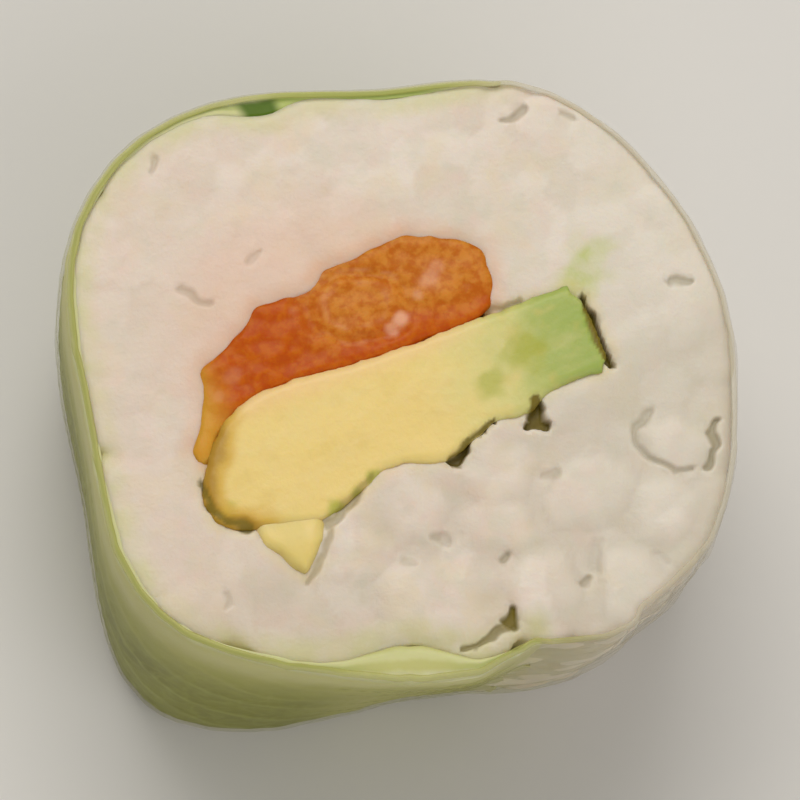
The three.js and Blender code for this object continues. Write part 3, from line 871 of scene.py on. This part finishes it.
def near_cut(place, reach):
    """1 on the cut faces, 0 further than reach from both."""
    return 1 - smoothstep(off_cuts(place), 0.0, reach)


def in_fillings(place):
    """The place in the fillings' frame."""
    lean = Vector(FILLING_LEAN) * (1 - place.z / HEIGHT)
    x = place.x - lean.x - FILLING_CENTRE[0]
    y = place.y - lean.y - FILLING_CENTRE[1]
    return turned(x, y, FILLING_TURN)


def soft_filling(node, relief, material):
    """A filling with soft faces. relief gives their unevenness, sideways and on the cut faces."""

    def shift(place, normal):
        across, level = relief(place, normal)
        across += FILLING_SWELL + CUT_SWELL * near_cut(place, 1.0)
        up = max(normal.z * level, -place.z)
        return Vector((normal.x * across, normal.y * across, up))

    piece = own_copy(node, node + "_flesh")
    modify(piece, "REMESH", mode="VOXEL", voxel_size=FILLING_VOXEL * MM)
    modify(piece, "SMOOTH", factor=0.5, iterations=2)
    move_points(piece, shift)
    # Painted shade, and a slight sinking, where a gap between grains reaches over the filling's edge.
    mark(piece, "shade", by_top(lambda place: gaps_at(place)[1]))
    sink(piece, lambda place: min(gaps_at(place)[0], FILLING_GAP))
    finished(piece, material, node)
    return piece


def avocado_relief(place, normal):
    ragged = noise(place / 1.3) * 0.15 + noise(place / 0.5) * 0.06
    to_end = turned(normal.x, normal.y, FILLING_TURN)[0]
    end = smoothstep(to_end, 0.2, 0.7) * smoothstep(in_fillings(place)[0], 10.0, 12.0) * on_top(place)
    return ragged * near_cut(place, 6.0) - END_GAP * end, noise(place / 3.5) * 0.1 - 0.05


def sliver_relief(place, normal):
    across, level = avocado_relief(place, normal)
    return across, level + SLIVER_RISE * max(0.0, normal.z)


def join_sliver(place, _):
    """Draws the sliver's near side over the avocado's edge."""
    away = avocado_trees[0].find_nearest(at_mid_height(place))[3]
    share = 1 - smoothstep(away, 0.3, SLIVER_JOIN["reach"])
    shift = turn_of(FILLING_TURN) @ Vector((0.0, SLIVER_JOIN["shift"], 0.0))
    return shift * share - raised(SLIVER_JOIN["drop"] * share * on_top(place))


def in_flake(place):
    """How far out a place is in the salmon's rounded flake, which ends at 1."""
    s, t = in_fillings(place)
    at_s, at_t = SALMON_FLAKE["centre"]
    half_along, half_across = SALMON_FLAKE["half"]
    along, across = turned(s - at_s, t - at_t, SALMON_FLAKE["turn"])
    return hypot(along / half_along, across / half_across) + 0.12 * noise(place / 1.4)


def salmon_relief(place, _):
    flake = noise(Vector((place.x / 1.9, place.y / 1.3, place.z / 3)))
    lump = noise(place / 0.8)
    groove = SALMON_FLAKE["groove"] * hump(in_flake(place) - 1, 0.3)
    tail = TAIL_SWELL * (1 - smoothstep(in_fillings(place)[0], -13.0, -10.5))
    return noise(place / 1.2) * 0.15 + tail, 0.16 * flake + 0.07 * lump - groove - 0.05 + tail


def spots(places):
    """Gives how strongly the spots mark a place."""

    def measure(place):
        s, t = in_fillings(place)
        ragged = 0.6 * noise(place / 0.9)
        strongest = 0.0
        for (at_s, at_t), size, strength in places:
            away = hypot(s - at_s, t - at_t) / size + ragged
            strongest = max(strongest, strength * (1 - smoothstep(away, 0.4, 1.4)))
        return strongest

    return measure


def rounded_end(place):
    """1 on the rim of the avocado's rounded end, and 0 further in."""
    s, _ = in_fillings(place)
    middle = at_mid_height(place)
    inward = avocado_trees[0].find_nearest(middle)[3] if inside(avocado_trees[0], middle) else 0.0
    rim = 1 - smoothstep(inward + 0.5 * noise(place / 1.5), 0.1, GOLDEN_REACH)
    return rim * (1 - smoothstep(s, -13.2, -9.5))


# Pale fat rings in the flake, and pale spots that are partly fat and partly painted highlights.
def fat_and_highlights(place):
    ring = in_flake(place)
    rings = 0.2 * hump(ring - 0.62, 0.12) + 0.2 * hump(ring - 1.12, 0.12)
    return max(spots(SALMON_FAT_AND_HIGHLIGHTS)(place), rings * smoothstep(noise(place / 1.1), -0.2, 0.4))


def fillings():
    flesh = avocado_look()
    for node, relief in (("avocado_slice", avocado_relief), ("avocado_sliver", sliver_relief)):
        piece = soft_filling(node, relief, flesh)
        mark(piece, "spot", spots(AVOCADO_SPOTS))
        if node == "avocado_sliver":
            move_points(piece, join_sliver)
        else:
            mark(piece, "golden", lambda place: 0.85 * smoothstep(rounded_end(place), 0.0, 0.7))
            mark(piece, "amber", lambda place: 0.8 * smoothstep(rounded_end(place), 0.6, 1.0))
    salmon = soft_filling("salmon", salmon_relief, salmon_look())
    mark(salmon, "fat_and_highlights", fat_and_highlights)


# ---- The rice.


leaf_tree = tree_over("lettuce_leaf")
salmon_tree = tree_over("salmon")
avocado_trees = [tree_over("avocado_slice"), tree_over("avocado_sliver")]
filling_trees = [salmon_tree, *avocado_trees]
STAINING_TREES = {"by_leaf": [leaf_tree], "by_avocado": avocado_trees, "by_salmon": [salmon_tree]}


def inside(tree, place):
    """Whether a ray from the place crosses the surface an odd number of times."""
    crossings = 0
    hit = tree.ray_cast(place, EAST)[0]
    while hit:
        crossings += 1
        hit = tree.ray_cast(hit + EAST * 1e-3, EAST)[0]
    return crossings % 2 == 1


def at_mid_height(place):
    """The place at half height that lies to the leaning fillings as this one does."""
    lean = Vector((*FILLING_LEAN, 0.0)) * (place.z / HEIGHT - 0.5)
    return Vector((place.x, place.y, MID_HEIGHT)) + lean


def depth_in_fillings(place):
    """How far inside a filling a place is, or minus its distance from the nearest one."""
    middle = at_mid_height(place)
    depths = []
    for tree in filling_trees:
        distance = tree.find_nearest(middle)[3]
        depths.append(distance if inside(tree, middle) else -distance)
    return max(depths)


def off_fillings(place):
    """The place, moved sideways until it is hardly inside the fillings."""
    start = at_mid_height(place)
    middle = start.copy()
    for tree in filling_trees:
        nearest, _, _, distance = tree.find_nearest(middle)
        if distance > FILLING_OVERLAP and inside(tree, middle):
            middle = nearest + (middle - nearest).normalized() * FILLING_OVERLAP
    return place + middle - start


def settled(place, low, high, inset=0.0):
    """Presses a point of the rice under the knife's cuts, inside the wrappings and off the fillings."""
    place = Vector(place)
    place.z = soft_limit(place.z, high, CUT_SOFTNESS)
    place.z = -soft_limit(-place.z, -low, CUT_SOFTNESS)
    radius = hypot(place.x, place.y)
    limit = beside(rice_face, place) - tuck(place) - inset
    if radius > limit - 2:
        pressed = soft_limit(radius, limit, between(CUT_SOFTNESS, SIDE_SOFTNESS, off_leaf(place)))
        place.x *= pressed / radius
        place.y *= pressed / radius
    return off_fillings(place)


def off_leaf(place):
    """1 on the bare side away from the cut faces, 0 on them and under the leaf."""
    return (1 - beside(leaf_cover, place)) * smoothstep(off_cuts(place), *SIDE_FADE)


def by_lumpiness(place, ends):
    """The first of two values where the rice is smeared flat, the second where it is lumpy."""
    (ax, ay), (bx, by) = LUMPY_EDGE
    past = ((place.x - ax) * (by - ay) - (place.y - ay) * (bx - ax)) / hypot(bx - ax, by - ay)
    return between(*ends, smoothstep(past, *LUMPY_FADE))


def grain_template():
    """The points of a grain that lies along X, half a unit long each way, and its faces."""
    points = [(-0.5, 0.0, 0.0)]
    for ring in range(1, GRAIN_RINGS):
        along = -cos(pi * ring / GRAIN_RINGS)
        radius = 0.5 * (1 - abs(along) ** GRAIN_BLUNTNESS) ** (1 / 2)
        for side in range(GRAIN_SIDES):
            turn = 2 * pi * side / GRAIN_SIDES
            points.append((along / 2, radius * cos(turn), radius * sin(turn)))
    points.append((0.5, 0.0, 0.0))
    faces = []
    last = len(points) - 1
    for side in range(GRAIN_SIDES):
        after = (side + 1) % GRAIN_SIDES
        faces.append((0, 1 + after, 1 + side))
        for ring in range(GRAIN_RINGS - 2):
            a = 1 + ring * GRAIN_SIDES
            b = a + GRAIN_SIDES
            faces.append((a + side, a + after, b + after, b + side))
        outer = last - GRAIN_SIDES
        faces.append((outer + side, outer + after, last))
    return np.array(points), faces


def laid(place, normal):
    """A matrix that lays a grain at a place, across the normal but for a little tilt."""
    lie = Vector((0, 0, 1)).rotation_difference(normal)
    own = Euler((rng.uniform(-pi, pi), rng.normal(0, GRAIN_TILT), rng.uniform(0, pi)))
    return Matrix.Translation(place) @ (lie @ own.to_quaternion()).to_matrix().to_4x4()


def middle_line(matrix):
    """A laid grain's middle line, as its two ends and its middle."""
    reach = (GRAIN[0] - GRAIN[1]) / 2
    return [matrix @ Vector((reach * share, 0, 0)) for share in (-1, 0, 1)]


def scatter(random_place, depth, spread, clearance):
    """Lays grains at random places, and keeps each that is clear of the ones before it."""
    kept = []
    lines = np.empty((0, 3))
    for _ in range(GRAIN_TRIES):
        place, normal = random_place(depth + rng.normal(0, spread))
        matrix = laid(place, normal)
        line = middle_line(matrix)
        away = np.linalg.norm(lines[:, None] - np.array(line)[None], axis=2)
        if len(lines) and away.min() < clearance:
            continue
        if max(depth_in_fillings(point) for point in line) > -GRAIN_ROOM:
            continue
        kept.append(matrix)
        lines = np.vstack([lines, line])
    return kept


def on_face(level, facing):
    """Random places under a cut face that looks up (1) or down (-1)."""

    def place(depth):
        angle = rng.uniform(0, 2 * pi)
        edge = beside(rice_face, Vector((cos(angle), sin(angle), level)))
        radius = sqrt(rng.uniform(0, 1)) * (edge - FACE_MARGIN)
        point = Vector((radius * cos(angle), radius * sin(angle), level - facing * depth))
        return point, Vector((0, 0, facing))

    return place


def on_bare_side(depth):
    angle = radians(rng.uniform(*BARE_SIDE))
    height = rng.uniform(SIDE_MARGIN, RICE_TOP - SIDE_MARGIN)
    out = Vector((cos(angle), sin(angle), 0))
    up = Vector((0, 0, height))
    return out * (beside(rice_face, out + up) - depth) + up, out


def joined_grains(grains):
    """One mesh of all the grains, each pressed to its place."""
    template, template_faces = grain_template()
    points = []
    faces = []
    for matrix in grains:
        size = np.array(GRAIN) * rng.uniform(*GRAIN_SIZES)
        unevenness = by_lumpiness(matrix.translation, CUT_UNEVENNESS)
        low = rng.uniform(0, unevenness)
        high = RICE_TOP - rng.uniform(0, unevenness)
        inset = rng.uniform(0, SIDE_UNEVENNESS) * off_leaf(matrix.translation)
        first = len(points)
        points += [settled(matrix @ Vector(point), low, high, inset) for point in template * size]
        faces += [[first + index for index in face] for face in template_faces]
    mesh = bpy.data.meshes.new("grains")
    mesh.from_pydata([point * MM for point in points], [], faces)
    return mesh


def press_core(place, normal):
    """Brings the rice's core close under its cut faces, and widens it."""
    wider = place + CORE_SWELL * Vector((normal.x, normal.y, 0.0))
    depth = by_lumpiness(place, CORE_DEPTH)
    reach = CORE_EDGE["reach"]
    stretch = (reach - depth) / (reach - CORE_EDGE["packed"]) - 1
    wider.z += stretch * max(0.0, wider.z - (RICE_TOP - reach))
    wider.z -= stretch * max(0.0, reach - wider.z)
    return settled(wider, depth, RICE_TOP - depth, CORE_INSET * off_leaf(wider)) - place


def drop_scraps(bm):
    """Leaves only the largest connected part, without the shells of hollows sealed inside it."""
    unseen = set(bm.verts)
    parts = []
    while unseen:
        front = [unseen.pop()]
        part = set(front)
        while front:
            around = {edge.other_vert(vertex) for vertex in front for edge in vertex.link_edges}
            front = list(around & unseen)
            unseen.difference_update(front)
            part.update(front)
        parts.append(part)
    parts.sort(key=len)
    scraps = set().union(*parts[:-1])
    bmesh.ops.delete(bm, geom=list(scraps), context="VERTS")


def off_line(x, y, line):
    """How far a point is from a line with a half width at each of its points, in half widths."""
    nearest = inf
    for (ax, ay, a_width), (bx, by, b_width) in zip(line, line[1:]):
        dx = bx - ax
        dy = by - ay
        share = ((x - ax) * dx + (y - ay) * dy) / (dx * dx + dy * dy)
        share = min(max(share, 0.0), 1.0)
        away = hypot(x - ax - share * dx, y - ay - share * dy)
        nearest = min(nearest, away / between(a_width, b_width, share))
    return nearest


def box_round(line):
    """The lowest and highest x and y that a line with half widths fills."""
    return [
        (min(point[axis] - point[2] for point in line), max(point[axis] + point[2] for point in line))
        for axis in (0, 1)
    ]


CRACK_BOXES = [box_round(line) for _, _, line in CRACKS]


def gaps_at(place):
    """How deep the gaps between grains are at a place, and how strongly shade is painted in them."""
    x = place.x + CRACK_WANDER * noise(place)
    y = place.y + CRACK_WANDER * noise(place + EAST * 9)
    depth = 0.0
    shade = 0.0
    for (deep, dark, line), ((low_x, high_x), (low_y, high_y)) in zip(CRACKS, CRACK_BOXES):
        if low_x < x < high_x and low_y < y < high_y:
            within = 1 - off_line(x, y, line)
            wall = between(*CRACK_WALL, dark)
            depth = max(depth, deep * smoothstep(within, 0.0, wall))
            shade = max(shade, dark * smoothstep(within, 0.05, wall))
    return depth, shade


def valley_at(place):
    """0 on the clumps and where the rice is smeared flat, up to 1 between the clumps."""
    highest = 0.0
    for (x, y), (half_x, half_y), turn in CLUMPS:
        along, across = turned(place.x - x, place.y - y, turn)
        out = hypot(along / half_x, across / half_y) + 0.25 * noise(place / 1.6)
        highest = max(highest, 1 - max(out, 0.0) ** CLUMP["fullness"])
    return (1 - highest) * by_lumpiness(place, (0.0, 1.0))


def on_top(place):
    """1 by the upper cut face, and 0 further down."""
    return smoothstep(place.z, RICE_TOP - TOP_FADE[0], RICE_TOP - TOP_FADE[1])


def by_top(measure):
    """The measure, in full by the upper cut face and 0 further down."""

    def faded(place):
        share = on_top(place)
        return share * measure(place) if share else 0.0

    return faded


def sink(piece, depth):
    """Lowers a piece's upper cut face by what depth gives for a place."""
    lowered = by_top(depth)
    move_points(piece, lambda place, _: raised(-lowered(place)))


def open_cracks(piece):
    def refine(bm):
        near = [
            face
            for face in bm.faces
            if face.normal.z > 0.5
            and face.calc_center_median().z > (RICE_TOP - TOP_FADE[1]) * MM
            and gaps_at(face.calc_center_median() / MM)[0] > 0
        ]
        edges = list({edge for face in near for edge in face.edges})
        bmesh.ops.subdivide_edges(bm, edges=edges, cuts=CRACK_CUTS, use_grid_fill=True)

    change(piece, refine)
    # Painted shade in the gaps and in the valleys between the clumps, which then sink.
    mark(piece, "shade", by_top(lambda place: max(gaps_at(place)[1], CLUMP["shade"] * valley_at(place))))
    sink(piece, lambda place: gaps_at(place)[0] + CLUMP["height"] * valley_at(place))


def smeared(place):
    """How strongly the avocado's green has rubbed off on the rice beside its end."""
    away = off_line(place.x, place.y, GREEN_SMEAR) + 0.5 * noise(place / 1.1)
    return 1.1 * (1 - smoothstep(away, 0.1, 1.3))


def tone_of(grains):
    """Gives a place the random tone of its nearest grain."""
    grain_tones = rng.uniform(0, 1, len(grains))
    tree = KDTree(3 * len(grains))
    for index, matrix in enumerate(grains):
        for point in middle_line(matrix):
            tree.insert(point, index)
    tree.balance()
    return lambda place: grain_tones[tree.find(place)[1]]


def nearness(trees, reach, strength):
    """Gives the strength where a place touches one of the trees, 0 further than reach from them."""

    def measure(place):
        away = min(tree.find_nearest(place)[3] for tree in trees)
        return strength * (1 - smoothstep(away, 0.2, reach))

    return measure


def rice():
    grains = []
    for layer in FACE_LAYERS:
        grains += scatter(on_face(RICE_TOP, 1), *layer)
        grains += scatter(on_face(0.0, -1), *layer)
    for layer in SIDE_LAYERS:
        grains += scatter(on_bare_side, *layer)
    piece = own_copy("rice", "pressed_rice")
    modify(piece, "REMESH", mode="VOXEL", voxel_size=CORE_VOXEL * MM)
    move_points(piece, press_core)
    mesh = joined_grains(grains)
    change(piece, lambda bm: bm.from_mesh(mesh))
    modify(piece, "REMESH", mode="VOXEL", voxel_size=RICE_VOXEL * MM)
    change(piece, drop_scraps)
    modify(piece, "SMOOTH", factor=0.5, iterations=RICE_SMOOTHING)
    open_cracks(piece)
    mark(piece, "tone", tone_of(grains))
    for name, _, reach, strength in RICE_STAINS:
        mark(piece, name, nearness(STAINING_TREES[name], reach, strength))
    mark(piece, "smear", by_top(smeared))
    finished(piece, rice_look(), "rice")


# ---- The studio.


def floor():
    mesh = bpy.data.meshes.new("floor")
    far = FLOOR_REACH * MM
    mesh.from_pydata([(-far, -far, 0), (far, -far, 0), (far, far, 0), (-far, far, 0)], [], [(0, 1, 2, 3)])
    mesh.materials.append(floor_look())
    plane = in_scene("floor", mesh)


def aimed(thing, place, target, up):
    """Stands a camera or lamp at a place, in millimetres, looking at a target."""
    back = (Vector(place) - Vector(target)).normalized()
    right = Vector(up).cross(back).normalized()
    turn = Matrix((right, back.cross(right), back)).transposed()
    thing.matrix_world = Matrix.Translation(Vector(place) * MM) @ turn.to_4x4()


def camera():
    data = bpy.data.cameras.new("camera")
    data.lens = data.sensor_width * CAMERA_DISTANCE / FIELD
    data.clip_start = 0.01
    thing = in_scene("camera", data)
    elevation = radians(CAMERA_ELEVATION)
    back = toward(CAMERA_AZIMUTH) * cos(elevation) + raised(sin(elevation))
    aimed(thing, Vector(CAMERA_TARGET) + back * CAMERA_DISTANCE, CAMERA_TARGET, (0, 1, 0))
    bpy.context.scene.camera = thing


def lights():
    for name, place, size, watts, colour in LAMPS:
        data = bpy.data.lights.new(name, "AREA")
        data.size = size * MM
        data.energy = watts
        data.color = colour
        aimed(in_scene(name, data), place, (0, 0, HEIGHT), (0, 0, 1))
    world = bpy.data.worlds.new("studio")
    world.use_nodes = True
    background = world.node_tree.nodes["Background"]
    background.inputs["Color"].default_value = SKY_COLOUR
    background.inputs["Strength"].default_value = SKY_STRENGTH
    bpy.context.scene.world = world
    bpy.context.scene.view_settings.view_transform = "Standard"


rice()
fillings()
lettuce_leaf()
rice_paper()
floor()
camera()
lights()
